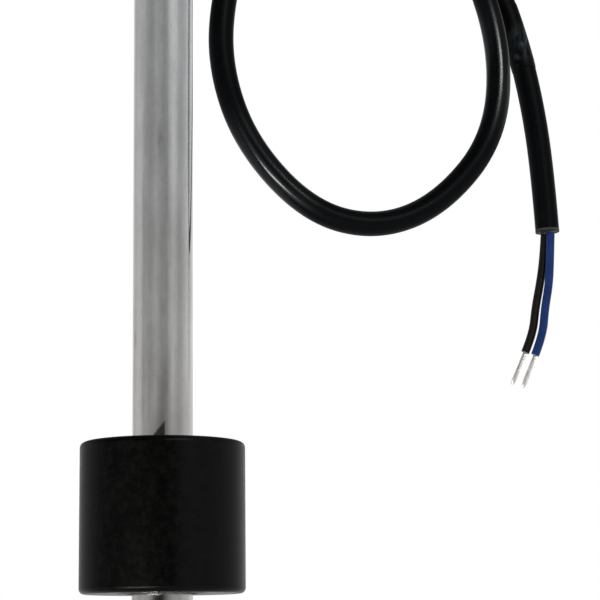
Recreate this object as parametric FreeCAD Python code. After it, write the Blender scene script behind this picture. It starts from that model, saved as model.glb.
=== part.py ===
import FreeCAD, Part
import math
import os
from FreeCAD import Vector as V

os.makedirs("parts", exist_ok=True)

# Float level switch, hung by its flange. Millimetres, +Z up, and the stem is on the Z axis.
# The origin is the centre of the seat, which is the gasket's underside.

# How near two lengths are before they count as the same
SAME = 0.0001

# Flange and gasket
BOLT_CIRCLE = 54.0
BOLT_COUNT = 5
BOLT_HOLE = 5.3
BOLT_HOLE_CHAMFER = 0.3
FIRST_HOLE_DEG = -90.0
SCREW_ROOM_D = 11.0
FLANGE_RIM_W = 8.0
FLANGE_T = 3.0
FLANGE_EDGE_R = 0.6
WELD_LEG = 1.6
GASKET_T = 2.0
GASKET_BORE_PLAY = 1.4
GASKET_HOLE_PLAY = 0.2

# Stem
STEM_D = 16.0
STEM_WALL = 1.5
STEM_LENGTH = 220.0
STEM_RISE = 3.0
END_CAP_T = 2.0
END_CAP_R = 1.4
END_PLUG_T = 4.0

# Stops, a washer and a retaining ring at each end of the float's travel
LOWER_STOP_UP = 8.3
UPPER_STOP_DOWN = 41.0
WASHER_D = 24.0
WASHER_T = 1.0
WASHER_PLAY = 0.1
RING_T = 1.0
RING_PLAY = 0.05
GROOVE_DEPTH = 0.4
GROOVE_W = 1.1
RING_BACK_W = 2.5
RING_TIP_W = 1.6
RING_GAP = 4.6
RING_LUG_D = 3.4
RING_LUG_HOLE = 1.7

# Float
FLOAT_D = 43.5
FLOAT_H = 39.5
FLOAT_EDGE_R = 1.5
FLOAT_PLAY = 0.7
FLOAT_MOUTH_CHAMFER = 0.8
FLOAT_REST_GAP = 2.2
MAGNET_W = 4.6
MAGNET_H = 10.0
MAGNET_RECESS = 0.2

# Switch board in the stem
BOARD_T = 1.0
BOARD_SIDE_PLAY = 1.4
BOARD_ABOVE_PLUG = 3.0
BOARD_BELOW_SEAT = 30.0
SUPPORT_T = 4.0
SUPPORT_INSET = 1.5
REED_D = 1.8
REED_L = 8.0
REED_END_R = 0.45
REED_PITCH = 12.0
REED_LEAD_W = 0.6
REED_LEAD_T = 0.25
REED_LEAD_REACH = 1.3
RESISTOR_SIZE = (1.6, 0.6, 3.2)
LEAD_D = 1.3
LEAD_SPACING = 3.2
LEAD_ON_BOARD = 7.0

# Head
HEAD_WALL = 2.5
HEAD_CAVITY_H = 12.0
HEAD_TOP_T = 3.5
HEAD_EDGE_R = 2.5
HEAD_FOOT_W = 1.5
HEAD_FOOT_T = 2.0
BOSS_RIM_W = 0.5
BOSS_T = 1.0
BOSS_CHAMFER = 0.4
POTTING_H = 7.5

# Cable gland
GLAND_THREAD_D = 16.0
GLAND_THREAD_BELOW = 3.5
GLAND_HEX = 20.0
GLAND_HEX_T = 4.5
GLAND_WASHER_T = 1.2
GLAND_WASHER_W = 2.4
GLAND_NECK_H = 7.5
GLAND_WALL = 1.4
GLAND_NUT_FLATS_H = 7.0
GLAND_DOME_H = 5.5
GLAND_SHOULDER_H = 2.5
GLAND_SHOULDER_IN = 1.0
GLAND_MOUTH_RIM_W = 1.6
GLAND_MOUTH_R = 0.8
NUT_LIFT = 0.4
NUT_LIP_T = 2.6
SEAL_T = 2.75
SEAL_GRIP = 0.05
CABLE_PLAY = 0.5

# Cable and wires
CABLE_D = 7.2
WIRE_D = 2.5
WIRE_TIP_D = 1.25
WIRE_TIP_L = 10.5
WIRE_TIP_TAPER = 1.3
WIRE_TIP_POINT_D = 0.7
SLEEVE_T = 0.2
SLEEVE_PLAY = 0.02
ARC_SHARE = 0.45

# The cable's route in three stretches: up out of the gland, over to the right and down,
# then once clockwise round behind the stem, then down behind the first pass to its cut end.
CABLE_DROP = [
    (0, 0, 34), (0, 0, 55), (8.5, 5.5, 73), (23.5, 15, 84), (41, 26, 85), (57, 36, 76),
    (68, 43, 59), (75.5, 48, 37.5), (80, 51.5, 16.5), (83.5, 53.5, -2), (89.3, 53.5, -17.9),
]
CABLE_LOOP = [
    (97.5, 51.5, -47.5), (94.7, 48.5, -75.8), (78.3, 45.5, -96.2), (59.4, 41, -104.5),
    (39.5, 36, -100.3), (21.5, 31.5, -81), (14, 28, -58.5), (15.5, 29, -35.5), (23, 33, -13),
    (38, 41, 1), (57, 50.5, 6.5), (74.5, 59, 2.5), (87, 62.5, -7), (96.5, 63.5, -18.9),
]
CABLE_END = [(103.9, 64.5, -41.4), (108.2, 65, -62), (110.6, 65.5, -82.8), (111.5, 65.5, -101)]
BLACK_ROUTE = [
    (110.8, 66.55, -101.4), (110.2, 66.55, -108.7), (109, 66.45, -116.1),
    (107.3, 66.35, -123.9), (106.3, 66.25, -131.7), (103.8, 66.15, -137.4),
]
BLUE_ROUTE = [
    (112.3, 64.45, -101.3), (111.9, 64.4, -109), (111.4, 64.5, -116.7),
    (109.9, 64.6, -124.5), (109.1, 64.75, -132.3), (106.6, 64.9, -138.4),
]

# The tie that holds the two passes of the cable where they cross
TIE_W = 2.6
TIE_T = 1.1
TIE_PLAY = 0.8
TIE_HEAD = (4.6, 3.4, 4.4)
TIE_HEAD_SUNK = 0.45
TIE_HEAD_R = 0.33

# Heights and radii that follow from the sizes above
FLANGE_LOW = GASKET_T
FLANGE_TOP = FLANGE_LOW + FLANGE_T
FLANGE_R = BOLT_CIRCLE / 2 + FLANGE_RIM_W
STEM_R = STEM_D / 2
BORE_R = STEM_R - STEM_WALL
STEM_LOW = -STEM_LENGTH
STEM_TOP = FLANGE_TOP + STEM_RISE
GASKET_BORE_R = STEM_R + WELD_LEG + GASKET_BORE_PLAY
LOWER_WASHER_TOP = STEM_LOW + LOWER_STOP_UP
LOWER_WASHER_LOW = LOWER_WASHER_TOP - WASHER_T
UPPER_WASHER_LOW = -UPPER_STOP_DOWN
UPPER_WASHER_TOP = UPPER_WASHER_LOW + WASHER_T
FLOAT_LOW = LOWER_WASHER_TOP + FLOAT_REST_GAP
FLOAT_TOP = FLOAT_LOW + FLOAT_H
FLOAT_BORE_R = STEM_R + FLOAT_PLAY
FLOAT_TRAVEL_UP = UPPER_WASHER_LOW - FLOAT_TOP
GROOVE_R = STEM_R - GROOVE_DEPTH
MAGNET_LOW = FLOAT_LOW + (FLOAT_H - MAGNET_H) / 2
MAGNET_INNER_R = FLOAT_BORE_R + MAGNET_RECESS
MAGNET_R = MAGNET_INNER_R + MAGNET_W
BOARD_LOW = STEM_LOW + END_PLUG_T + BOARD_ABOVE_PLUG
BOARD_TOP = -BOARD_BELOW_SEAT
BOARD_W = 2 * (BORE_R - BOARD_SIDE_PLAY)
REED_Y = -(BOARD_T + REED_D) / 2
HEAD_FOOT_R = (BOLT_CIRCLE - SCREW_ROOM_D) / 2
HEAD_R = HEAD_FOOT_R - HEAD_FOOT_W
CAVITY_R = HEAD_R - HEAD_WALL
CAVITY_TOP = FLANGE_TOP + HEAD_CAVITY_H
HEAD_TOP = CAVITY_TOP + HEAD_TOP_T
BOSS_R = GLAND_HEX / math.sqrt(3) + BOSS_RIM_W
BOSS_TOP = HEAD_TOP + BOSS_T
POTTING_TOP = FLANGE_TOP + POTTING_H
THREAD_R = GLAND_THREAD_D / 2
THREAD_LOW = CAVITY_TOP - GLAND_THREAD_BELOW
HEX_LOW = BOSS_TOP + GLAND_WASHER_T
HEX_TOP = HEX_LOW + GLAND_HEX_T
NECK_TOP = HEX_TOP + GLAND_NECK_H
NUT_LOW = HEX_TOP + NUT_LIFT
NUT_FLATS_TOP = NUT_LOW + GLAND_NUT_FLATS_H
NUT_TOP = NUT_FLATS_TOP + GLAND_DOME_H
CABLE_ROUTE = CABLE_DROP + CABLE_LOOP + CABLE_END
CABLE_R = CABLE_D / 2
CABLE_HOLE_R = CABLE_R + CABLE_PLAY
CABLE_INNER_END = (STEM_TOP + POTTING_TOP) / 2
SEAL_INNER_R = CABLE_R + SEAL_GRIP
SEAL_OUTER_R = SEAL_INNER_R + SEAL_T
SEAL_CONE_R = SEAL_INNER_R + SEAL_T / 2
NECK_R = SEAL_OUTER_R + GLAND_WALL


def ring(outer_r, inner_r, low, height):
    """A plain ring about the Z axis."""
    outside = Part.makeCylinder(outer_r, height, V(0, 0, low))
    return outside.cut(Part.makeCylinder(inner_r, height, V(0, 0, low)))


def disc(radius, low, height):
    """A plain disc about the Z axis."""
    return Part.makeCylinder(radius, height, V(0, 0, low))


def turned(profile):
    """A solid turned about the Z axis from a closed outline of (radius, height) points."""
    points = [V(r, 0, z) for r, z in profile]
    face = Part.Face(Part.makePolygon(points + points[:1]))
    return face.revolve(V(0, 0, 0), V(0, 0, 1), 360)


def rims(shape, radius, height):
    """The round edges of a turned shape at one radius and height."""
    found = []
    for edge in shape.Edges:
        curve = edge.Curve
        if isinstance(curve, Part.Circle) and abs(curve.Radius - radius) < SAME:
            if abs(curve.Center.z - height) < SAME and abs(abs(curve.Axis.z) - 1) < SAME:
                found.append(edge)
    return found


def hexagon(flats, low, height):
    """A hexagonal prism about the Z axis with its corners turned off."""
    corner_r = flats / math.sqrt(3)
    points = []
    for k in range(6):
        angle = math.radians(60 * k)
        points.append(V(corner_r * math.cos(angle), corner_r * math.sin(angle), low))
    prism = Part.Face(Part.makePolygon(points + points[:1])).extrude(V(0, 0, height))
    lathe_r = (corner_r + flats / 2) / 2
    slope = corner_r - lathe_r
    barrel = turned([
        (0, low), (lathe_r, low), (corner_r, low + slope),
        (corner_r, low + height - slope), (lathe_r, low + height), (0, low + height),
    ])
    return prism.common(barrel)


def bolt_holes(diameter, low, height):
    """The holes on the bolt circle, as one group of pins to cut away."""
    pins = []
    for k in range(BOLT_COUNT):
        angle = math.radians(FIRST_HOLE_DEG + 360.0 * k / BOLT_COUNT)
        place = V(BOLT_CIRCLE / 2 * math.cos(angle), BOLT_CIRCLE / 2 * math.sin(angle), low)
        pins.append(Part.makeCylinder(diameter / 2, height, place))
    return Part.makeCompound(pins)


def flange_gasket():
    """Flat rubber gasket under the flange."""
    body = ring(FLANGE_R, GASKET_BORE_R, 0, GASKET_T)
    return body.cut(bolt_holes(BOLT_HOLE + GASKET_HOLE_PLAY, 0, GASKET_T))


def flange():
    """Steel disc welded round the stem, with the weld's fillet below it."""
    body = turned([
        (STEM_R, FLANGE_LOW - WELD_LEG), (STEM_R + WELD_LEG, FLANGE_LOW),
        (FLANGE_R, FLANGE_LOW), (FLANGE_R, FLANGE_TOP), (STEM_R, FLANGE_TOP),
    ])
    edges = rims(body, FLANGE_R, FLANGE_LOW) + rims(body, FLANGE_R, FLANGE_TOP)
    body = body.makeFillet(FLANGE_EDGE_R, edges)
    body = body.cut(bolt_holes(BOLT_HOLE, FLANGE_LOW, FLANGE_T))
    mouths = rims(body, BOLT_HOLE / 2, FLANGE_TOP)
    return body.makeChamfer(BOLT_HOLE_CHAMFER, mouths)


def stem_tube():
    """Steel tube with a retaining ring groove at each stop."""
    tube = ring(STEM_R, BORE_R, STEM_LOW, STEM_TOP - STEM_LOW)
    for low in (LOWER_WASHER_LOW - GROOVE_W, UPPER_WASHER_TOP):
        tube = tube.cut(ring(STEM_R + GROOVE_DEPTH, GROOVE_R, low, GROOVE_W))
    return tube


def stem_end_plug():
    """Turned plug that closes the tube's lower end."""
    plug = turned([
        (0, STEM_LOW - END_CAP_T), (STEM_R, STEM_LOW - END_CAP_T), (STEM_R, STEM_LOW),
        (BORE_R, STEM_LOW), (BORE_R, STEM_LOW + END_PLUG_T), (0, STEM_LOW + END_PLUG_T),
    ])
    return plug.makeFillet(END_CAP_R, rims(plug, STEM_R, STEM_LOW - END_CAP_T))


def stop_washer(low):
    """Flat washer that the float comes to rest against."""
    return ring(WASHER_D / 2, STEM_R + WASHER_PLAY, low, WASHER_T)


def retaining_ring(low):
    """External retaining ring, widest at its back, with a lug and hole at each tip."""
    inner_r = GROOVE_R + RING_PLAY
    outer_r = inner_r + (RING_BACK_W + RING_TIP_W) / 2
    shift = (RING_BACK_W - RING_TIP_W) / 2
    body = Part.makeCylinder(outer_r, RING_T, V(-shift, 0, low))
    lug_r = RING_LUG_D / 2
    lug_x = inner_r + lug_r
    lug_y = RING_GAP / 2 + lug_r
    for side in (-1, 1):
        lug = Part.makeCylinder(lug_r, RING_T, V(lug_x, side * lug_y, low))
        neck = Part.makeBox(lug_x, RING_LUG_D, RING_T, V(0, side * lug_y - lug_r, low))
        body = body.fuse(lug).fuse(neck)
    body = body.cut(Part.makeCylinder(inner_r, RING_T, V(0, 0, low)))
    body = body.cut(Part.makeBox(2 * lug_x, RING_GAP, RING_T, V(0, -RING_GAP / 2, low)))
    for side in (-1, 1):
        hole = Part.makeCylinder(RING_LUG_HOLE / 2, RING_T, V(lug_x, side * lug_y, low))
        body = body.cut(hole)
    return body.removeSplitter()


def float_body():
    """Moulded cylinder with a bore for the stem and a groove in the bore for the magnet."""
    body = ring(FLOAT_D / 2, FLOAT_BORE_R, FLOAT_LOW, FLOAT_H)
    outer = rims(body, FLOAT_D / 2, FLOAT_LOW) + rims(body, FLOAT_D / 2, FLOAT_TOP)
    body = body.makeFillet(FLOAT_EDGE_R, outer)
    mouths = rims(body, FLOAT_BORE_R, FLOAT_LOW) + rims(body, FLOAT_BORE_R, FLOAT_TOP)
    body = body.makeChamfer(FLOAT_MOUTH_CHAMFER, mouths)
    return body.cut(disc(MAGNET_R, MAGNET_LOW, MAGNET_H))


def float_magnet():
    """Ring magnet seated in the float's groove."""
    return ring(MAGNET_R, MAGNET_INNER_R, MAGNET_LOW, MAGNET_H)


def reed_board():
    """Narrow circuit board that stands in the stem."""
    low_corner = V(-BOARD_W / 2, -BOARD_T / 2, BOARD_LOW)
    return Part.makeBox(BOARD_W, BOARD_T, BOARD_TOP - BOARD_LOW, low_corner)


def reed_heights():
    """Heights of the reed switches, from the float's lowest place to its highest."""
    first = MAGNET_LOW + MAGNET_H / 2 - FLOAT_REST_GAP
    count = int((FLOAT_TRAVEL_UP + FLOAT_REST_GAP) / REED_PITCH) + 1
    return [first + k * REED_PITCH for k in range(count)]


def reed_capsules():
    """Glass capsules of the reed switches, flat against the back of the board."""
    glass = []
    for z in reed_heights():
        capsule = Part.makeCylinder(REED_D / 2, REED_L, V(0, REED_Y, z - REED_L / 2))
        glass.append(capsule.makeFillet(REED_END_R, capsule.Edges))
    return Part.makeCompound(glass)


def reed_leads():
    """Flat leads that come out of each capsule and bend to the board."""
    board_y = -BOARD_T / 2
    half = REED_LEAD_T / 2
    leads = []
    for z in reed_heights():
        for side in (-1, 1):
            start = z + side * REED_L / 2
            turn = start + side * REED_LEAD_REACH
            fold = turn - side * REED_LEAD_T
            outline = [
                V(0, REED_Y - half, start), V(0, REED_Y - half, turn), V(0, board_y, turn),
                V(0, board_y, fold), V(0, REED_Y + half, fold), V(0, REED_Y + half, start),
            ]
            flat = Part.Face(Part.makePolygon(outline + outline[:1]))
            flat.translate(V(-REED_LEAD_W / 2, 0, 0))
            leads.append(flat.extrude(V(REED_LEAD_W, 0, 0)))
    return Part.makeCompound(leads)


def step_resistors():
    """One resistor on the front of the board beside each reed switch."""
    wide, deep, high = RESISTOR_SIZE
    chips = []
    for z in reed_heights():
        low_corner = V(-wide / 2, BOARD_T / 2, z - high / 2)
        chips.append(Part.makeBox(wide, deep, high, low_corner))
    return Part.makeCompound(chips)


def board_supports():
    """Two rubber discs that carry the ends of the board in the stem."""
    upper_low = BOARD_TOP - SUPPORT_INSET - SUPPORT_T
    slot_w = LEAD_SPACING + LEAD_D
    lead_slot = Part.makeBox(slot_w, LEAD_D, SUPPORT_T, V(-slot_w / 2, BOARD_T / 2, upper_low))
    discs = []
    for low in (BOARD_LOW + SUPPORT_INSET, upper_low):
        discs += disc(BORE_R, low, SUPPORT_T).cut(reed_board()).cut(lead_slot).Solids
    return Part.makeCompound(discs)


def inner_lead(side):
    """Insulated wire from the board's top up the stem to the cable's inner end."""
    low = BOARD_TOP - LEAD_ON_BOARD
    foot = V(side * LEAD_SPACING / 2, (BOARD_T + LEAD_D) / 2, low)
    return Part.makeCylinder(LEAD_D / 2, CABLE_INNER_END - low, foot)


def head_housing():
    """Turned steel cup over the stem's upper end, open below, with the gland's hole on top."""
    foot_top = FLANGE_TOP + HEAD_FOOT_T
    cup = turned([
        (CAVITY_R, FLANGE_TOP), (HEAD_FOOT_R, FLANGE_TOP), (HEAD_FOOT_R, foot_top),
        (HEAD_R, foot_top), (HEAD_R, HEAD_TOP), (BOSS_R, HEAD_TOP), (BOSS_R, BOSS_TOP),
        (THREAD_R, BOSS_TOP), (THREAD_R, CAVITY_TOP), (CAVITY_R, CAVITY_TOP),
    ])
    cup = cup.makeFillet(HEAD_EDGE_R, rims(cup, HEAD_R, HEAD_TOP))
    return cup.makeChamfer(BOSS_CHAMFER, rims(cup, BOSS_R, BOSS_TOP))


def potting_compound():
    """Cast filling round the stem's end, the inner leads and the cable's end."""
    fill = disc(CAVITY_R, FLANGE_TOP, POTTING_H)
    fill = fill.cut(disc(STEM_R, FLANGE_TOP, STEM_RISE))
    fill = fill.cut(disc(CABLE_R, CABLE_INNER_END, POTTING_TOP - CABLE_INNER_END))
    for side in (-1, 1):
        fill = fill.cut(inner_lead(side))
    return fill


def cable_in_gland():
    """The cable's held stretch, from the potting up to where its free route begins."""
    height = CABLE_ROUTE[0][2] - CABLE_INNER_END
    return disc(CABLE_R, CABLE_INNER_END, height)


def gland_washer():
    """Sealing washer between the head's boss and the gland."""
    return ring(THREAD_R + GLAND_WASHER_W, THREAD_R, BOSS_TOP, GLAND_WASHER_T)


def gland_body():
    """Cable gland body: thread below, hexagon, and a hollow neck for the seal and nut."""
    body = disc(THREAD_R, THREAD_LOW, HEX_LOW - THREAD_LOW)
    body = body.fuse(hexagon(GLAND_HEX, HEX_LOW, GLAND_HEX_T))
    body = body.fuse(disc(NECK_R, HEX_TOP, GLAND_NECK_H))
    body = body.cut(disc(CABLE_HOLE_R, THREAD_LOW, NECK_TOP - THREAD_LOW))
    body = body.cut(disc(SEAL_OUTER_R, HEX_TOP, GLAND_NECK_H))
    return body.removeSplitter()


def gland_seal():
    """Rubber sleeve in the gland's neck, with a cone at its top that the nut presses on."""
    cone_top = NUT_TOP - NUT_LIP_T
    return turned([
        (SEAL_INNER_R, HEX_TOP), (SEAL_OUTER_R, HEX_TOP), (SEAL_OUTER_R, NECK_TOP),
        (SEAL_CONE_R, cone_top), (SEAL_INNER_R, cone_top),
    ])


def gland_nut():
    """Domed nut: hexagonal below, round above, with a rounded mouth for the cable."""
    flat_r = GLAND_HEX / 2
    top_r = CABLE_HOLE_R + GLAND_MOUTH_RIM_W
    dome = turned([
        (0, NUT_FLATS_TOP), (flat_r, NUT_FLATS_TOP),
        (flat_r - GLAND_SHOULDER_IN, NUT_FLATS_TOP + GLAND_SHOULDER_H),
        (top_r, NUT_TOP), (0, NUT_TOP),
    ])
    hollow = turned([
        (0, NUT_LOW), (NECK_R, NUT_LOW), (NECK_R, NECK_TOP), (SEAL_OUTER_R, NECK_TOP),
        (SEAL_CONE_R, NUT_TOP - NUT_LIP_T), (0, NUT_TOP - NUT_LIP_T),
    ])
    nut = hexagon(GLAND_HEX, NUT_LOW, GLAND_NUT_FLATS_H).fuse(dome)
    nut = nut.cut(hollow).cut(disc(CABLE_HOLE_R, NUT_LOW, NUT_TOP - NUT_LOW))
    return nut.makeFillet(GLAND_MOUTH_R, rims(nut, CABLE_HOLE_R, NUT_TOP))


def bend(before, corner, after):
    """The arc that rounds one corner of a route, and its radius."""
    into = corner - before
    out = after - corner
    reach = ARC_SHARE * min(into.Length, out.Length)
    half_turn = into.getAngle(out) / 2
    radius = reach / math.tan(half_turn)
    into.normalize()
    out.normalize()
    inward = out - into
    inward.normalize()
    middle = corner + inward * (radius / math.cos(half_turn) - radius)
    arc = Part.Arc(corner - into * reach, middle, corner + out * reach)
    return arc.toShape(), radius


def rounded_route(points, name):
    """Straight runs joined by tangent arcs, in order, with the arcs' radii printed."""
    corners = [V(*point) for point in points]
    edges = []
    radii = []
    here = corners[0]
    for before, corner, after in zip(corners, corners[1:], corners[2:]):
        arc, radius = bend(before, corner, after)
        edges.append(Part.LineSegment(here, arc.firstVertex().Point).toShape())
        edges.append(arc)
        radii.append(round(radius, 1))
        here = arc.lastVertex().Point
    edges.append(Part.LineSegment(here, corners[-1]).toShape())
    print(name, "radii", radii)
    return edges


def swept(edges, radius):
    """A round solid along joined edges."""
    start = edges[0].valueAt(edges[0].FirstParameter)
    direction = edges[0].tangentAt(edges[0].FirstParameter)
    circle = Part.Wire(Part.makeCircle(radius, start, direction))
    return Part.Wire(edges).makePipe(Part.Face(circle))


def cord(points, diameter, name):
    """A cord's solid along its route, with its volume printed beside section times length."""
    edges = rounded_route(points, name)
    solid = swept(edges, diameter / 2)
    length = sum(edge.Length for edge in edges)
    expected = math.pi * (diameter / 2) ** 2 * length
    print(name, f"length {length:.1f} volume {solid.Volume:.1f} expected {expected:.1f}")
    return solid


def end_sleeve():
    """Thin shrunk sleeve round the first bend of the cable's end stretch."""
    corners = [V(*point) for point in CABLE_LOOP[-1:] + CABLE_END[:2]]
    arc, radius = bend(*corners)
    inner_r = CABLE_R + SLEEVE_PLAY
    return swept([arc], inner_r + SLEEVE_T).cut(swept([arc], inner_r))


def last_run(points):
    """Middle and direction of the last straight run of a stretch."""
    start = V(*points[-2])
    end = V(*points[-1])
    direction = end - start
    direction.normalize()
    return (start + end) / 2, direction


def cable_tie():
    """Nylon tie round the two passes where they cross: an oval band and its square head."""
    lead, lead_way = last_run(CABLE_DROP)
    back, back_way = last_run(CABLE_LOOP)
    way = lead_way + back_way
    way.normalize()
    back = back + back_way * ((lead - back).dot(way) / back_way.dot(way))
    across = back - lead
    gap = across.Length
    inner_r = CABLE_R + TIE_PLAY
    outer_r = inner_r + TIE_T
    band = oval(gap, outer_r, TIE_W).cut(oval(gap, inner_r, TIE_W))
    wide, deep, high = TIE_HEAD
    head = Part.makeBox(wide, deep, high, V((gap - wide) / 2, outer_r - TIE_HEAD_SUNK, -high / 2))
    tie = band.fuse(head.makeFillet(TIE_HEAD_R, head.Edges)).removeSplitter()
    frame = FreeCAD.Rotation(across, V(0, 0, 0), way, "ZXY")
    tie.Placement = FreeCAD.Placement(lead, frame)
    return tie


def oval(gap, radius, width):
    """A straight-sided oval plate along X, centred in height."""
    low = V(0, 0, -width / 2)
    near = Part.makeCylinder(radius, width, low)
    far = Part.makeCylinder(radius, width, low + V(gap, 0, 0))
    middle = Part.makeBox(gap, 2 * radius, width, low + V(0, -radius, 0))
    return near.fuse(far).fuse(middle).removeSplitter()


def wire_tip(points):
    """Bare tinned end of a wire, in line with its last run, with a tapered point."""
    end = V(*points[-1])
    way = end - V(*points[-2])
    way.normalize()
    straight = WIRE_TIP_L - WIRE_TIP_TAPER
    radius = WIRE_TIP_D / 2
    shank = Part.makeCylinder(radius, straight, end, way)
    point = Part.makeCone(radius, WIRE_TIP_POINT_D / 2, WIRE_TIP_TAPER, end + way * straight, way)
    return shank.fuse(point).removeSplitter()


NODES = {
    "flange_gasket": flange_gasket(),
    "flange": flange(),
    "stem_tube": stem_tube(),
    "stem_end_plug": stem_end_plug(),
    "lower_stop_washer": stop_washer(LOWER_WASHER_LOW),
    "lower_retaining_ring": retaining_ring(LOWER_WASHER_LOW - RING_PLAY - RING_T),
    "upper_stop_washer": stop_washer(UPPER_WASHER_LOW),
    "upper_retaining_ring": retaining_ring(UPPER_WASHER_TOP + RING_PLAY),
    "float_body": float_body(),
    "float_magnet": float_magnet(),
    "reed_board": reed_board(),
    "reed_capsules": reed_capsules(),
    "reed_leads": reed_leads(),
    "step_resistors": step_resistors(),
    "board_supports": board_supports(),
    "inner_lead_black": inner_lead(-1),
    "inner_lead_blue": inner_lead(1),
    "head_housing": head_housing(),
    "potting_compound": potting_compound(),
    "gland_washer": gland_washer(),
    "gland_body": gland_body(),
    "gland_seal": gland_seal(),
    "gland_nut": gland_nut(),
    "cable_in_gland": cable_in_gland(),
    "cable_jacket": cord(CABLE_ROUTE, CABLE_D, "cable_jacket"),
    "end_sleeve": end_sleeve(),
    "cable_tie": cable_tie(),
    "black_wire": cord(BLACK_ROUTE, WIRE_D, "black_wire"),
    "blue_wire": cord(BLUE_ROUTE, WIRE_D, "blue_wire"),
    "black_wire_tip": wire_tip(BLACK_ROUTE),
    "blue_wire_tip": wire_tip(BLUE_ROUTE),
}

for name, shape in NODES.items():
    shape.exportStep(f"parts/{name}.step")
print(len(NODES), "nodes, float travel up", round(FLOAT_TRAVEL_UP, 2))
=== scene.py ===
import math

import bpy
from mathutils import Matrix, Vector


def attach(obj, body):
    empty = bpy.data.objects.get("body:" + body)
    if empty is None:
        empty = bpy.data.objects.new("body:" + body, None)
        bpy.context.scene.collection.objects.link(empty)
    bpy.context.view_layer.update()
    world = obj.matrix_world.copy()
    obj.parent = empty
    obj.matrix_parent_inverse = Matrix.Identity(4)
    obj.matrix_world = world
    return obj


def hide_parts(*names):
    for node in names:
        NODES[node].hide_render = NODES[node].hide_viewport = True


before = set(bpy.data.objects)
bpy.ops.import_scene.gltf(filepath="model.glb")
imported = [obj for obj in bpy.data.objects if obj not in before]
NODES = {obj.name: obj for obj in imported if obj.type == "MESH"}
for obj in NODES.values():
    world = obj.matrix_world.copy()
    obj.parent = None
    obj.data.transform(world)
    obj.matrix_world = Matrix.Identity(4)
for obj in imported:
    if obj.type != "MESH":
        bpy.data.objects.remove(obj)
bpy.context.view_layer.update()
MM = 0.001

# The camera's lens in the photo's pixels, and its place and turn
FOCAL_PX = 2000.0
FRAME_PX = 600.0
SENSOR_MM = 36.0
CLIP_M = (0.01, 100.0)
CAMERA_AT = Vector((0.0366, -0.5263, -0.2224))
CAMERA_PITCH = math.radians(9.73)
CAMERA_ROLL = math.radians(-0.57)

# The cords' diameters and curve steps, and their routes in millimetres, the same as the solids'
CABLE_D = 0.0072
WIRE_D = 0.0025
CABLE_STEPS = 16
WIRE_STEPS = 12
BEVEL_STEPS = 9
CABLE_ROUTE = [
    (0, 0, 34), (0, 0, 55), (8.5, 5.5, 73), (23.5, 15, 84), (41, 26, 85), (57, 36, 76),
    (68, 43, 59), (75.5, 48, 37.5), (80, 51.5, 16.5), (83.5, 53.5, -2), (89.3, 53.5, -17.9),
    (97.5, 51.5, -47.5), (94.7, 48.5, -75.8), (78.3, 45.5, -96.2), (59.4, 41, -104.5),
    (39.5, 36, -100.3), (21.5, 31.5, -81), (14, 28, -58.5), (15.5, 29, -35.5), (23, 33, -13),
    (38, 41, 1), (57, 50.5, 6.5), (74.5, 59, 2.5), (87, 62.5, -7), (96.5, 63.5, -18.9),
    (103.9, 64.5, -41.4), (108.2, 65, -62), (110.6, 65.5, -82.8), (111.5, 65.5, -101),
]
BLACK_ROUTE = [
    (110.8, 66.55, -101.4), (110.2, 66.55, -108.7), (109, 66.45, -116.1),
    (107.3, 66.35, -123.9), (106.3, 66.25, -131.7), (103.8, 66.15, -137.4),
]
BLUE_ROUTE = [
    (112.3, 64.45, -101.3), (111.9, 64.4, -109), (111.4, 64.5, -116.7),
    (109.9, 64.6, -124.5), (109.1, 64.75, -132.3), (106.6, 64.9, -138.4),
]

# The thin sleeve: its ends, measured back from the cable's end, its play and its wall
SLEEVE_FROM_END = (0.0507, 0.0716)
JACKET_R = CABLE_D / 2
SLEEVE_PLAY = 0.00001
SLEEVE_T = 0.00014
SLEEVE_STEP = 0.00012
SLEEVE_ROLL_PER_MM = 2.2
COLUMNS = 64

# The jacket's cut face: radius and distance ahead, from the jacket's wall to the core's middle
CUT_PROFILE = [
    (0.00361, -0.0009), (0.003612, -0.00022), (0.00354, -0.00008), (0.00342, 0.00001),
    (0.00312, 0.00004), (0.00288, 0.00001), (0.00279, -0.00006), (0.00274, -0.0003), (0.0, -0.0003),
]
CUT_ROUGH_WITHIN = 0.0035

# The bare ends of the wires
TIP_L = 0.0105
TIP_BURIED = 0.0006
TIP_ROWS = 150
TIP_COLUMNS = 112
TIP_LAST_R = 0.00014
STRANDS = 7
STRAND_PITCH = 0.007
STRAND_GROOVE = 0.18


def new_object(name, data):
    """An object for some data, linked to the scene."""
    piece = bpy.data.objects.new(name, data)
    bpy.context.scene.collection.objects.link(piece)
    return piece


def make_camera():
    """A long lens at the float's height, looking up a little."""
    ahead = Vector((0.0, math.cos(CAMERA_PITCH), math.sin(CAMERA_PITCH)))
    level_right = Vector((1.0, 0.0, 0.0))
    level_up = Vector((0.0, -math.sin(CAMERA_PITCH), math.cos(CAMERA_PITCH)))
    right = math.cos(CAMERA_ROLL) * level_right + math.sin(CAMERA_ROLL) * level_up
    up = -math.sin(CAMERA_ROLL) * level_right + math.cos(CAMERA_ROLL) * level_up
    data = bpy.data.cameras.new("camera")
    data.sensor_width = SENSOR_MM
    data.lens = FOCAL_PX / FRAME_PX * SENSOR_MM
    data.clip_start, data.clip_end = CLIP_M
    camera = new_object("camera", data)
    turn = Matrix((right, up, -ahead)).transposed().to_4x4()
    camera.matrix_world = Matrix.Translation(CAMERA_AT) @ turn
    bpy.context.scene.camera = camera


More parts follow.
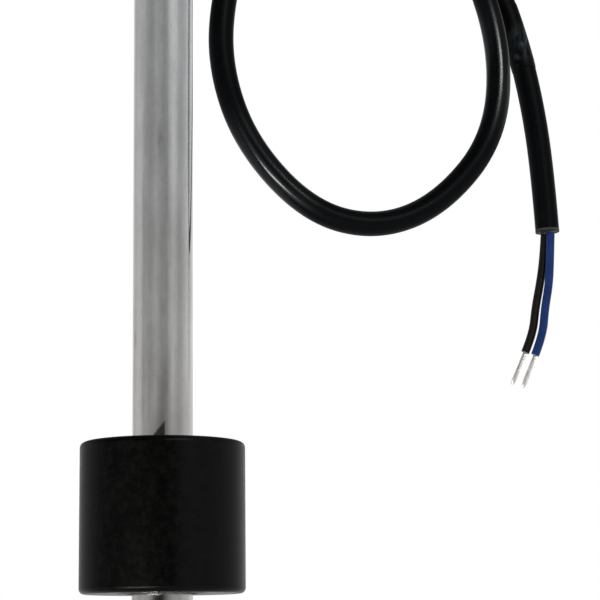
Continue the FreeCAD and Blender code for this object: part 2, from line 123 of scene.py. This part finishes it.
def spline_curve(name, route, diameter, steps):
    """A curve object with one open NURBS spline on the route's points."""
    data = bpy.data.curves.new(name, "CURVE")
    data.dimensions = "3D"
    data.twist_mode = "MINIMUM"
    spline = data.splines.new("NURBS")
    spline.points.add(len(route) - 1)
    for point, place in zip(spline.points, route):
        point.co = (place[0] * MM, place[1] * MM, place[2] * MM, 1.0)
    spline.order_u = 3
    spline.use_endpoint_u = True
    spline.resolution_u = steps
    data.resolution_u = steps
    data.bevel_depth = diameter / 2
    data.bevel_resolution = BEVEL_STEPS
    data.use_fill_caps = True
    return new_object(name, data)


def centreline(curve):
    """Points that the curve's own spline gives without its bevel."""
    bare = new_object("bare", curve.data.copy())
    bare.data.bevel_depth = 0.0
    bpy.context.view_layer.update()
    mesh = bpy.data.meshes.new_from_object(bare)
    points = [v.co.copy() for v in mesh.vertices]
    bpy.data.meshes.remove(mesh)
    data = bare.data
    bpy.data.objects.remove(bare)
    bpy.data.curves.remove(data)
    return points


def line_length(points):
    return sum((b - a).length for a, b in zip(points, points[1:]))


def resample(points, start, end, step):
    """Points along a line from one distance along it to another."""
    places = []
    total = 0.0
    wanted = start
    for a, b in zip(points, points[1:]):
        span = (b - a).length
        while wanted <= total + span and wanted <= end:
            places.append(a.lerp(b, (wanted - total) / span))
            wanted += step
        total += span
    return places


def frames_along(points):
    """Direction and two side vectors at each point, carried along without twist."""
    ways = []
    for i in range(len(points)):
        a = points[max(i - 1, 0)]
        b = points[min(i + 1, len(points) - 1)]
        ways.append((b - a).normalized())
    side = ways[0].orthogonal().normalized()
    result = []
    for way in ways:
        side = (side - way * side.dot(way)).normalized()
        result.append((way, side.copy(), way.cross(side)))
    return result


def end_frame(points):
    """Direction and two side vectors at a line's end."""
    way = (points[-1] - points[-2]).normalized()
    side = way.orthogonal().normalized()
    return way, side, way.cross(side)


def angles(columns):
    return [2 * math.pi * j / columns for j in range(columns)]


def ring(centre, here, radii, aheads):
    """Points round a centre, each with its own radius and its own distance ahead."""
    way, side, other = here
    points = []
    for turn, radius, ahead in zip(angles(len(radii)), radii, aheads):
        points.append(centre + way * ahead + (side * math.cos(turn) + other * math.sin(turn)) * radius)
    return points


def tube_faces(rows, columns):
    """Quads of a tube's grid, closed round its columns."""
    faces = []
    for i in range(rows - 1):
        for j in range(columns):
            k = (j + 1) % columns
            faces.append((i * columns + j, i * columns + k, (i + 1) * columns + k, (i + 1) * columns + j))
    return faces


def cap_faces(rows, columns, centre):
    """Triangles from the points of a tube's last row to one point."""
    first = (rows - 1) * columns
    return [(first + j, first + (j + 1) % columns, centre) for j in range(columns)]


def mesh_piece(name, verts, faces):
    """A smooth mesh object from points and faces."""
    data = bpy.data.meshes.new(name)
    data.from_pydata([tuple(v) for v in verts], [], faces)
    data.update()
    data.shade_smooth()
    return new_object(name, data)


def make_sleeve(line):
    """Thin shrunk sleeve with rolled, slightly uneven ends."""
    total = line_length(line)
    line = resample(line, total - SLEEVE_FROM_END[1], total - SLEEVE_FROM_END[0], SLEEVE_STEP)
    last = len(line) - 1
    verts = []
    for i, (place, here) in enumerate(zip(line, frames_along(line))):
        edge_mm = min(i, last - i) * SLEEVE_STEP / MM
        wall = SLEEVE_T * (1.0 - math.exp(-edge_mm * SLEEVE_ROLL_PER_MM))
        ragged = 1.0 if i in (0, last) else 0.0
        radii, aheads = [], []
        for turn in angles(COLUMNS):
            wave = 0.018 * math.sin(3 * turn + i * 0.05) + 0.012 * math.sin(5 * turn - i * 0.09)
            radii.append(JACKET_R + SLEEVE_PLAY + wall * (1.0 + wave))
            aheads.append(ragged * (0.00012 * math.sin(2 * turn + 1.0) + 0.00008 * math.sin(7 * turn)))
        verts += ring(place, here, radii, aheads)
    return mesh_piece("cable_sleeve", verts, tube_faces(len(line), COLUMNS))


def make_cut_end(line):
    """The jacket's cut face: a ring with a rounded outer edge and a core set back inside."""
    end, here = line[-1], end_frame(line)
    *rings, middle = CUT_PROFILE
    verts = []
    for radius, ahead in rings:
        rough = 1.0 if radius < CUT_ROUGH_WITHIN else 0.0
        radii = [
            radius * (1.0 + rough * (0.006 * math.sin(5 * turn) + 0.004 * math.sin(11 * turn + 1)))
            for turn in angles(COLUMNS)
        ]
        verts += ring(end, here, radii, [ahead] * COLUMNS)
    verts.append(end + here[0] * middle[1])
    faces = tube_faces(len(rings), COLUMNS) + cap_faces(len(rings), COLUMNS, len(verts) - 1)
    return mesh_piece("cable_cut_end", verts, faces)


def tip_radius(share, along):
    """The bundle's radius: it widens out of the insulation, swells and narrows to a rounded point."""
    neck = 0.00052 + 0.00009 * (1 - math.exp(-max(along, 0.0) * 900))
    swell = 0.00006 * math.exp(-((share - 0.72) / 0.2) ** 2)
    point = math.sqrt(max(0.0, 1.0 - max(0.0, (share - 0.86) / 0.14) ** 2.2))
    return (neck + swell) * (0.35 + 0.65 * point) if share < 0.995 else TIP_LAST_R


def make_tip(name, line, phase):
    """Twisted, tinned strands that narrow to a rounded point."""
    end, here = line[-1], end_frame(line)
    verts = []
    for i in range(TIP_ROWS):
        share = i / (TIP_ROWS - 1)
        along = -TIP_BURIED + (TIP_L + TIP_BURIED) * share
        radius = tip_radius(share, along)
        twist = 2 * math.pi * (along / STRAND_PITCH) + phase
        radii = []
        for turn in angles(TIP_COLUMNS):
            lobe = abs(math.cos(STRANDS * (turn - twist) / 2)) ** 0.6
            bent = 1.0 + 0.05 * math.sin(2 * turn + 5 * share + phase)
            radii.append(radius * (1.0 - STRAND_GROOVE + STRAND_GROOVE * lobe) * bent)
        verts += ring(end, here, radii, [along] * TIP_COLUMNS)
    verts.append(end + here[0] * TIP_L)
    faces = tube_faces(TIP_ROWS, TIP_COLUMNS) + cap_faces(TIP_ROWS, TIP_COLUMNS, len(verts) - 1)
    return mesh_piece(name, verts, faces)


make_camera()
cable = spline_curve("cable", CABLE_ROUTE, CABLE_D, CABLE_STEPS)
black_wire = spline_curve("wire_black_insulation", BLACK_ROUTE, WIRE_D, WIRE_STEPS)
blue_wire = spline_curve("wire_blue_insulation", BLUE_ROUTE, WIRE_D, WIRE_STEPS)
cable_line = centreline(cable)
sleeve = make_sleeve(cable_line)
cut_end = make_cut_end(cable_line)
black_tip = make_tip("wire_black_strands", centreline(black_wire), 0.4)
blue_tip = make_tip("wire_blue_strands", centreline(blue_wire), 2.1)


class Tree:
    """Short calls that build a node tree."""

    def __init__(self, tree):
        self.tree = tree

    def add(self, kind, inputs=None, **settings):
        node = self.tree.nodes.new(kind)
        for key, value in settings.items():
            setattr(node, key, value)
        for key, value in (inputs or {}).items():
            self.feed(node.inputs[key], value)
        return node

    def feed(self, socket, value):
        """Links a socket to an output or gives it a plain value."""
        if isinstance(value, bpy.types.NodeSocket):
            self.tree.links.new(value, socket)
        else:
            socket.default_value = value

    def math(self, operation, a, b=0.0, c=0.0):
        return self.add("ShaderNodeMath", {0: a, 1: b, 2: c}, operation=operation).outputs[0]

    def fade(self, value, zero, one):
        """Rises smoothly from 0 to 1 as a value goes from one level to another."""
        return self.add("ShaderNodeMapRange", {"Value": value, "From Min": zero, "From Max": one},
                        interpolation_type="SMOOTHSTEP").outputs[0]

    def ramp(self, factor, stops, interpolation="LINEAR"):
        node = self.add("ShaderNodeValToRGB", {"Fac": factor})
        band = node.color_ramp
        band.interpolation = interpolation
        while len(band.elements) < len(stops):
            band.elements.new(0.5)
        for element, (place, colour) in zip(band.elements, stops):
            element.position = place
            element.color = (*colour, 1.0)
        return node.outputs["Color"]

    def mix(self, factor, a, b, blend="MIX"):
        """A mix of two colours, each an output or three numbers."""
        node = self.add("ShaderNodeMix", {0: factor}, data_type="RGBA", blend_type=blend)
        for key, value in ((6, a), (7, b)):
            self.feed(node.inputs[key], (*value, 1.0) if isinstance(value, tuple) else value)
        return node.outputs[2]


class Surface(Tree):
    """A new material's tree, with patterns placed in the object's own space."""

    def __init__(self, name):
        self.material = bpy.data.materials.new(name)
        self.material.use_nodes = True
        super().__init__(self.material.node_tree)
        self.shader = self.tree.nodes["Principled BSDF"]

    def set(self, key, value):
        self.feed(self.shader.inputs[key], value)

    def place(self, scale=(1, 1, 1)):
        coordinates = self.add("ShaderNodeTexCoord")
        inputs = {"Vector": coordinates.outputs["Object"], "Scale": scale}
        return self.add("ShaderNodeMapping", inputs).outputs["Vector"]

    def parts(self):
        """The place's three coordinates."""
        return self.add("ShaderNodeSeparateXYZ", {0: self.place()}).outputs[:3]

    def distance(self, place, centre):
        return self.add("ShaderNodeVectorMath", {0: place, 1: centre}, operation="DISTANCE").outputs["Value"]

    def noise(self, scale, detail=3.0, stretch=(1, 1, 1), rough=0.5, distort=0.0):
        inputs = {"Vector": self.place(stretch), "Scale": scale, "Detail": detail, "Roughness": rough,
                  "Distortion": distort}
        return self.add("ShaderNodeTexNoise", inputs).outputs["Fac"]

    def spread(self, factor, low, high):
        """A value that runs from low to high as a factor runs from 0 to 1."""
        return self.add("ShaderNodeMapRange", {"Value": factor, "To Min": low, "To Max": high}).outputs[0]

    def spot(self, centre, reach, edge, depth=1.0):
        """1 near a place and 0 beyond a reach, with a soft edge; a depth above 1 makes it shallower."""
        apart = self.distance(self.place((1, depth, 1)), (centre[0], centre[1] * depth, centre[2]))
        return self.fade(apart, reach, reach - edge)

    def dark_patch(self, centre, length):
        """1 at a place on the stem and 0 beyond a long, ragged outline."""
        squeeze, ragged, edge = 0.28, 0.0022, 0.0011
        wander = self.noise(420, 3.0, (1, 1, 0.5), 0.6)
        apart = self.distance(self.place((1, 1, squeeze)), (centre[0], centre[1], centre[2] * squeeze))
        return self.fade(self.math("MULTIPLY_ADD", wander, ragged, apart), length * squeeze + edge, edge)

    def grey(self, value):
        return self.add("ShaderNodeCombineColor", {0: value, 1: value, 2: value}).outputs[0]

    def bump(self, height, strength, distance):
        inputs = {"Height": height, "Strength": strength, "Distance": distance}
        self.set("Normal", self.add("ShaderNodeBump", inputs).outputs["Normal"])


def times(colour, factors):
    return tuple(c * f for c, f in zip(colour, factors))


# Faint dark patches on the stem: place, length along the stem, depth
DARK_PATCHES = (
    ((-0.0006, -0.008, -0.0885), 0.0045, 0.2), ((-0.0001, -0.008, -0.093), 0.005, 0.2),
    ((0.0003, -0.008, -0.1353), 0.005, 0.16), ((0.0006, -0.008, -0.1554), 0.007, 0.18),
    ((-0.0071, -0.0037, -0.1428), 0.004, 0.2), ((-0.001, -0.008, -0.115), 0.009, 0.1),
    ((0.003, -0.0074, -0.07), 0.008, 0.1),
)


def stem_stains_and_painted_reflection(n, base):
    """The stem's colour with stains, faint dark patches, and a painted reflection: a dark flame-shaped patch
    painted above the float's rest, where the steel mirrors a dark thing in front.
    """
    x, y, z = n.parts()
    # Outline of the painted reflection: a slanted left edge, a right edge, a lower edge at the float's top, and
    # the stem's front half only
    reflection_left_edge = n.math("MULTIPLY_ADD", z, 0.82, 0.13665)
    reflection_mask = n.fade(n.math("SUBTRACT", x, reflection_left_edge), -0.0006, 0.0001)
    reflection_mask = n.math("MULTIPLY", reflection_mask, n.fade(x, 0.00135, 0.00085))
    reflection_mask = n.math("MULTIPLY", reflection_mask, n.fade(z, -0.1705, -0.1685))
    reflection_mask = n.math("MULTIPLY", reflection_mask, n.fade(y, 0.0, -0.002))
    painted_reflection = n.math("MULTIPLY", reflection_mask, 0.82)

    streaks = n.spread(n.noise(330, 4.0, (1, 1, 0.09), 0.6, 0.6), -0.17, 0.17)
    patches = n.spread(n.noise(70, 3.0, (1, 1, 0.45), 0.55), -0.2, 0.2)
    grain = n.spread(n.noise(900, 4.0, (1, 1, 0.4), 0.7), -0.12, 0.12)
    shade = n.math("ADD", n.math("ADD", n.math("ADD", streaks, patches), grain), 1.0)
    for place, length, depth in DARK_PATCHES:
        shade = n.math("SUBTRACT", shade, n.math("MULTIPLY", n.dark_patch(place, length), depth))
    base = n.mix(1.0, base, n.grey(shade), "MULTIPLY")

    cool, warm = (0.99, 0.995, 1.0), (1.015, 0.995, 0.98)
    base = n.mix(1.0, base, n.mix(n.fade(z, -0.085, -0.125), cool, warm), "MULTIPLY")
    # The painted reflection is near black, mixed over the steel's colour
    return n.mix(painted_reflection, base, (0.012, 0.012, 0.012))


def satin_steel(name, colour, roughness, streak=(1, 1, 1), grain=0.0, play=0.05, stains_and_reflection=None):
    """Lightly polished steel with soft cloudy stains; a grain gives it the look of drawn tube."""
    n = Surface(name)
    dark, pale = times(colour, (0.84, 0.84, 0.84)), times(colour, (1.12, 1.12, 1.12))
    cool, warm = times(colour, (0.97, 1.0, 1.01)), times(colour, (1.03, 0.985, 0.97))
    clouded = n.ramp(n.noise(140, 4.0, (1, 1, 0.3), 0.6), [(0.32, dark), (0.5, colour), (0.68, pale)])
    tinted = n.ramp(n.noise(38, 1.0, (1, 1, 0.5), 0.4), [(0.38, cool), (0.62, warm)])
    base = n.mix(0.45, clouded, tinted)
    n.set("Base Color", stains_and_reflection(n, base) if stains_and_reflection else base)
    n.set("Metallic", 1.0)
    brushed = n.noise(900, 3.0, streak, 0.55)
    cloudy = n.noise(90, 3.0, (1, 1, 0.35), 0.5)
    n.set("Roughness", n.math("ADD", n.spread(brushed, roughness - play, roughness + play),
                              n.spread(cloudy, -play, play)))
    if grain:
        n.set("Anisotropic", grain)
        n.set("Tangent", n.add("ShaderNodeTangent", direction_type="RADIAL", axis="Z").outputs[0])
    n.bump(brushed, 0.08, 0.00002)
    return n.material


def moulded(name, colour, roughness, specular, grain=0.00003, tint=(1.15, 1.1, 1.0)):
    """Moulded plastic or rubber with a fine grain."""
    n = Surface(name)
    cloud = n.noise(160, 4.0, (1, 1, 1), 0.6)
    n.set("Base Color", n.ramp(cloud, [(0.35, colour), (0.65, times(colour, tint))]))
    n.set("Roughness", n.spread(cloud, roughness - 0.05, roughness + 0.06))
    n.set("Specular IOR Level", specular)
    n.bump(n.noise(2400, 4.0, (1, 1, 1), 0.6), 0.25, grain)
    return n.material


def smooth_pvc(name, colour, roughness, specular):
    """Extruded insulation: smooth, with faint dust and long soft waves."""
    n = Surface(name)
    cloud = n.noise(220, 3.0)
    lighter_tone = tuple(c * 1.35 + 0.001 for c in colour)
    n.set("Base Color", n.ramp(cloud, [(0.4, colour), (0.75, lighter_tone)]))
    n.set("Roughness", n.spread(cloud, roughness - 0.03, roughness + 0.05))
    n.set("Specular IOR Level", specular)
    n.bump(n.noise(260, 2.0), 0.05, 0.00003)
    return n.material


def foam_rubber():
    """The float's foam rubber: near black and mottled, with a painted sheen that lightens one side, and dull at
    its upper edge.
    """
    n = Surface("float_black")
    x, y, z = n.parts()
    cloud = n.noise(420, 4.0, (1, 1, 1), 0.65)
    dark = n.ramp(cloud, [(0.4, (0.0002, 0.0002, 0.0002)), (0.5, (0.0008, 0.0008, 0.0007)),
                          (0.62, (0.0026, 0.0025, 0.0019))])
    lighter_tone = n.ramp(cloud, [(0.35, (0.0036, 0.0037, 0.0038)), (0.65, (0.0046, 0.0046, 0.0046))])
    speck = n.fade(n.noise(1500, 2.0), 0.7, 0.76)
    # Painted sheen: the colour turns lighter towards the right side, where light falls on the float
    base = n.mix(n.fade(x, 0.003, 0.0085), dark, lighter_tone)
    n.set("Base Color", n.mix(n.math("MULTIPLY", speck, 0.7), base, (0.014, 0.014, 0.012)))
    upper_edge = n.math("MULTIPLY", n.fade(z, -0.1716, -0.1708), 0.46)
    n.set("Roughness", n.math("MAXIMUM", n.spread(cloud, 0.2, 0.4), upper_edge))
    n.set("Specular IOR Level", 0.06)
    n.bump(n.noise(2400, 4.0, (1, 1, 1), 0.6), 0.25, 0.00003)
    return n.material


def jacket_pvc():
    """The cable's jacket: dull and dusty, with two stretches that handling has rubbed glossy."""
    n = Surface("cable_black")
    dark, lighter_tone = (0.001, 0.0014, 0.0018), (0.0015, 0.002, 0.0026)
    n.set("Base Color", n.ramp(n.noise(220, 3.0), [(0.4, dark), (0.75, lighter_tone)]))
    right_strand = n.spot((0.096, 0.048, -0.053), 0.028, 0.024, 2.4)
    loop_foot = n.spot((0.027, 0.032, -0.088), 0.022, 0.016)
    rubbed = n.math("MAXIMUM", right_strand, loop_foot)
    n.set("Roughness", n.spread(rubbed, 0.4, 0.17))
    n.set("Specular Tint", (0.9, 0.95, 1.0, 1.0))
    # The plain level stands for the linked one where a tool drops the link
    n.set("Specular IOR Level", 0.12)
    n.set("Specular IOR Level", n.spread(rubbed, 0.06, 0.25))
    n.bump(n.noise(160, 1.0), 0.02, 0.00003)
    return n.material


# The sleeve's painted highlights, pale bluish spots: place and reach
PAINTED_HIGHLIGHT_SPOTS = (
    ((0.1051, 0.0605, -0.0433), 0.0013), ((0.1067, 0.0605, -0.0436), 0.0014),
    ((0.1032, 0.0608, -0.0474), 0.0017), ((0.108, 0.0605, -0.0493), 0.0014),
    ((0.1031, 0.0608, -0.0498), 0.0014), ((0.1083, 0.0635, -0.0442), 0.0026),
    ((0.1074, 0.0632, -0.0402), 0.0024), ((0.1092, 0.0635, -0.0482), 0.0024),
)


def sleeve_with_painted_highlights():
    """The shrunk sleeve: black, with painted highlights as pale bluish spots towards its lower end."""
    n = Surface("sleeve_black")
    wrinkles = n.noise(420, 4.0, (1.0, 1.0, 0.35), 0.7)
    painted_highlight = n.math("MULTIPLY", n.spot((0.1076, 0.0605, -0.042), 0.0085, 0.008), n.fade(wrinkles, 0.38, 0.7))
    for place, reach in PAINTED_HIGHLIGHT_SPOTS:
        highlight_spot = n.math("MULTIPLY", n.spot(place, reach, reach), n.fade(wrinkles, 0.3, 0.5))
        painted_highlight = n.math("MAXIMUM", painted_highlight, highlight_spot)
    # Painted highlight: the spots turn the black to a pale bluish colour
    n.set("Base Color", n.mix(painted_highlight, (0.0008, 0.0009, 0.0011), (0.048, 0.062, 0.074)))
    n.set("Roughness", n.spread(painted_highlight, 0.42, 0.6))
    n.set("Specular IOR Level", 0.06)
    n.bump(wrinkles, 0.12, 0.00005)
    return n.material


def clear_glass():
    n = Surface("capsule_glass")
    n.set("Base Color", n.ramp(n.noise(500, 2.0), [(0.3, (0.8, 0.92, 0.84)), (0.7, (0.86, 0.95, 0.88))]))
    n.set("Roughness", 0.05)
    n.set("IOR", 1.5)
    n.set("Transmission Weight", 0.85)
    return n.material


stem_steel = satin_steel("stem_steel", (0.557, 0.557, 0.557), 0.12, (1, 1, 0.02), 0.7, 0.02, stem_stains_and_painted_reflection)
turned_steel = satin_steel("turned_steel", (0.58, 0.58, 0.575), 0.3, (0.2, 0.2, 1.0))
pressed_steel = satin_steel("pressed_steel", (0.55, 0.55, 0.545), 0.32)
spring_steel = satin_steel("spring_steel", (0.4, 0.4, 0.4), 0.35)
tinned = satin_steel("tinned_strands", (0.74, 0.73, 0.72), 0.26)
float_black = foam_rubber()
gland_black = moulded("gland_black", (0.008, 0.008, 0.0085), 0.42, 0.35)
rubber_black = moulded("rubber_black", (0.014, 0.014, 0.014), 0.7, 0.3)
tie_black = moulded("tie_black", (0.008, 0.008, 0.008), 0.38, 0.35)
resin_black = moulded("resin_black", (0.014, 0.014, 0.015), 0.2, 0.5)
cable_black = jacket_pvc()
sleeve_black = sleeve_with_painted_highlights()
cut_grey = moulded("cut_grey", (0.026, 0.026, 0.03), 0.7, 0.2, 0.0001, (2.4, 2.4, 2.4))
wire_black_pvc = smooth_pvc("wire_black_pvc", (0.005, 0.0032, 0.0023), 0.34, 0.22)
wire_blue_pvc = smooth_pvc("wire_blue_pvc", (0.0045, 0.025, 0.125), 0.34, 0.16)
magnet_grey = moulded("magnet_grey", (0.045, 0.045, 0.05), 0.6, 0.4)
board_green = moulded("board_green", (0.03, 0.14, 0.06), 0.4, 0.5)
chip_black = moulded("chip_black", (0.02, 0.02, 0.022), 0.5, 0.5)
capsule_glass = clear_glass()

NODE_MATERIALS = {
    "flange_gasket": rubber_black, "flange": turned_steel, "stem_tube": stem_steel, "stem_end_plug": stem_steel,
    "lower_stop_washer": pressed_steel, "lower_retaining_ring": spring_steel,
    "upper_stop_washer": pressed_steel, "upper_retaining_ring": spring_steel, "float_body": float_black,
    "float_magnet": magnet_grey, "reed_board": board_green, "reed_capsules": capsule_glass,
    "reed_leads": tinned, "step_resistors": chip_black, "board_supports": rubber_black,
    "inner_lead_black": wire_black_pvc, "inner_lead_blue": wire_blue_pvc, "head_housing": turned_steel,
    "potting_compound": resin_black, "gland_washer": rubber_black, "gland_body": gland_black,
    "gland_seal": rubber_black, "gland_nut": gland_black, "cable_in_gland": cable_black,
    "cable_tie": tie_black,
}
for name, material in NODE_MATERIALS.items():
    slots = NODES[name].data.materials
    slots.clear()
    slots.append(material)

# Each piece with its material, its slot in the record and the nodes that it stands for
for piece, material, slot, replaced in (
    (cable, cable_black, "cable_pvc", ("cable_jacket",)),
    (black_wire, wire_black_pvc, "wire_black", ("black_wire",)),
    (blue_wire, wire_blue_pvc, "wire_blue", ("blue_wire",)),
    (sleeve, sleeve_black, "sleeve_plastic", ("end_sleeve",)),
    (cut_end, cut_grey, "cable_pvc", ()),
    (black_tip, tinned, "tinned_wire", ("black_wire_tip",)),
    (blue_tip, tinned, "tinned_wire", ("blue_wire_tip",)),
):
    piece.data.materials.append(material)
    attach(piece, "stem")
    if replaced:
        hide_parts(*replaced)

FLOOR_Z = -0.45
FLOOR_HALF = 3.0
WHITE = (1.0, 1.0, 1.0, 1.0)
ROOM_LIGHT = 0.95

# What shiny surfaces see at each bearing, in degrees from the camera side, positive to the right
STUDIO_BANDS = [
    (-180, 0.9), (-150, 0.75), (-132, 0.62), (-109, 0.75), (-89, 0.7), (-78, 0.46), (-62, 0.46), (-48, 0.41),
    (-36, 0.47), (-24, 0.53), (-12, 0.45), (-2, 0.38), (8, 0.37), (19, 0.36), (30, 0.52), (42, 0.68),
    (54, 0.57), (67, 0.47), (80, 0.52), (95, 0.66), (112, 0.78), (132, 0.76), (150, 0.92), (180, 0.95),
]
# The same near the top of the picture, where a window's light is brighter
UPPER_BANDS = [
    (-180, 0.9), (-150, 0.75), (-132, 0.56), (-109, 0.64), (-89, 0.6), (-76, 0.57), (-62, 0.46), (-48, 0.42),
    (-36, 0.42), (-24, 0.5), (-12, 0.46), (-2, 0.44), (8, 0.37), (19, 0.42), (30, 0.68), (42, 0.82),
    (54, 0.8), (67, 0.58), (80, 0.52), (95, 0.6), (112, 0.76), (132, 0.72), (150, 0.92), (180, 0.95),
]
# The same near the lens's height, where a dark patch stands in front of the steel
LOW_BANDS = [
    (-180, 0.75), (-133, 0.56), (-109, 0.6), (-91, 0.46), (-76, 0.45), (-62, 0.46), (-49, 0.43), (-37, 0.28),
    (-26, 0.07), (-14, 0.02), (-2, 0.02), (8, 0.05), (19, 0.2), (30, 0.33), (42, 0.42), (54, 0.43),
    (67, 0.42), (80, 0.5), (95, 0.6), (112, 0.64), (132, 0.8), (150, 0.85), (180, 0.85),
]
# The same above the steel's view, where the cable's loop finds the darker side of the room
TOP_BANDS = [
    (-180, 0.6), (-130, 0.3), (-100, 0.14), (-60, 0.1), (-30, 0.06), (0, 0.06), (14, 0.12), (30, 0.3),
    (50, 0.45), (80, 0.25), (110, 0.2), (140, 0.4), (180, 0.6),
]
# Heights between which one set gives way to the next, as sines; the low edge climbs to the right
LOW_EDGE = (0.1085, 0.1100)
LOW_EDGE_CLIMB = 0.0105
UPPER_EDGE = (math.sin(math.radians(11)), math.sin(math.radians(17.5)))
TOP_EDGE = (math.sin(math.radians(19.0)), math.sin(math.radians(21.5)))

# What the lamps are aimed at: the loop's right strand and its lowest stretch
RIGHT_STRAND = Vector((0.097, 0.048, -0.055))
LOOP_FOOT = Vector((0.028, 0.03, -0.09))
WARM_LIGHT = (1.0, 0.95, 0.86)
MILD_LIGHT = (1.0, 0.96, 0.88)


def make_floor():
    """A wide, plain, pale floor."""
    data = bpy.data.meshes.new("floor")
    half = FLOOR_HALF
    corners = [(-half, -half, FLOOR_Z), (half, -half, FLOOR_Z), (half, half, FLOOR_Z), (-half, half, FLOOR_Z)]
    data.from_pydata(corners, [], [(0, 1, 2, 3)])
    floor = new_object("floor", data)
    n = Surface("floor_paint")
    n.set("Base Color", n.ramp(n.noise(40, 2.0), [(0.3, (0.86, 0.86, 0.86)), (0.7, (0.88, 0.88, 0.88))]))
    n.set("Roughness", 0.8)
    data.materials.append(n.material)


def make_world():
    """White behind the part, even light on matt surfaces, and bands of light in shiny ones."""
    world = bpy.data.worlds.new("studio")
    bpy.context.scene.world = world
    world.use_nodes = True
    world.node_tree.nodes.clear()
    w = Tree(world.node_tree)

    way = w.add("ShaderNodeTexCoord").outputs["Generated"]
    x, y, level = w.add("ShaderNodeSeparateXYZ", {0: way}).outputs[:3]
    bearing = w.math("ARCTAN2", x, w.math("MULTIPLY", y, -1.0))
    share = w.math("MULTIPLY_ADD", bearing, 0.5 / math.pi, 0.5)

    def bands(stops):
        return w.ramp(share, [((degrees + 180) / 360, (value,) * 3) for degrees, value in stops], "EASE")

    def rising(lower, upper, height, edge):
        """One set of bands that gives way to another between two heights."""
        return w.mix(w.fade(height, *edge), lower, upper)

    def background(colour, strength):
        return w.add("ShaderNodeBackground", {"Color": colour, "Strength": strength}).outputs[0]

    def either(factor, first, second):
        return w.add("ShaderNodeMixShader", {0: factor, 1: first, 2: second}).outputs[0]

    slanted = w.math("SUBTRACT", level, w.math("MULTIPLY", bearing, LOW_EDGE_CLIMB))
    studio = rising(bands(LOW_BANDS), bands(STUDIO_BANDS), slanted, LOW_EDGE)
    studio = rising(studio, bands(UPPER_BANDS), level, UPPER_EDGE)
    studio = rising(studio, bands(TOP_BANDS), level, TOP_EDGE)

    path = w.add("ShaderNodeLightPath").outputs
    lit = either(path["Is Glossy Ray"], background(WHITE, ROOM_LIGHT), background(studio, 1.0))
    direct = w.math("MAXIMUM", path["Is Camera Ray"], path["Is Transmission Ray"])
    w.add("ShaderNodeOutputWorld", {"Surface": either(direct, lit, background(WHITE, 1.0))})


def make_lamp(name, target, bearing, rise, distance, spread, radiance, colour=(1, 1, 1)):
    """A soft rectangular lamp for shine alone; bearing, rise and spread are in degrees from the target."""
    side, up = math.radians(bearing), math.radians(rise)
    way = Vector((math.sin(side) * math.cos(up), -math.cos(side) * math.cos(up), math.sin(up)))
    data = bpy.data.lights.new(name, "AREA")
    data.shape = "RECTANGLE"
    data.size, data.size_y = [2 * distance * math.tan(math.radians(angle) / 2) for angle in spread]
    data.energy = radiance * math.pi * data.size * data.size_y
    data.color = colour
    lamp = new_object(name, data)
    lamp.location = target + way * distance
    lamp.rotation_euler = (-way).to_track_quat("-Z", "Y").to_euler()
    lamp.visible_camera = False
    lamp.visible_diffuse = False


make_floor()
make_world()
make_lamp("lamp_key", RIGHT_STRAND, 28.5, 26.8, 3.0, (18, 3), 42.0, WARM_LIGHT)
make_lamp("lamp_key_edge", RIGHT_STRAND, 11, 25.4, 3.0, (14, 1.6), 9.0)
make_lamp("lamp_low", LOOP_FOOT, -30, -29.0, 0.6, (34, 6.5), 36.0, MILD_LIGHT)
bpy.context.scene.view_settings.view_transform = "Standard"
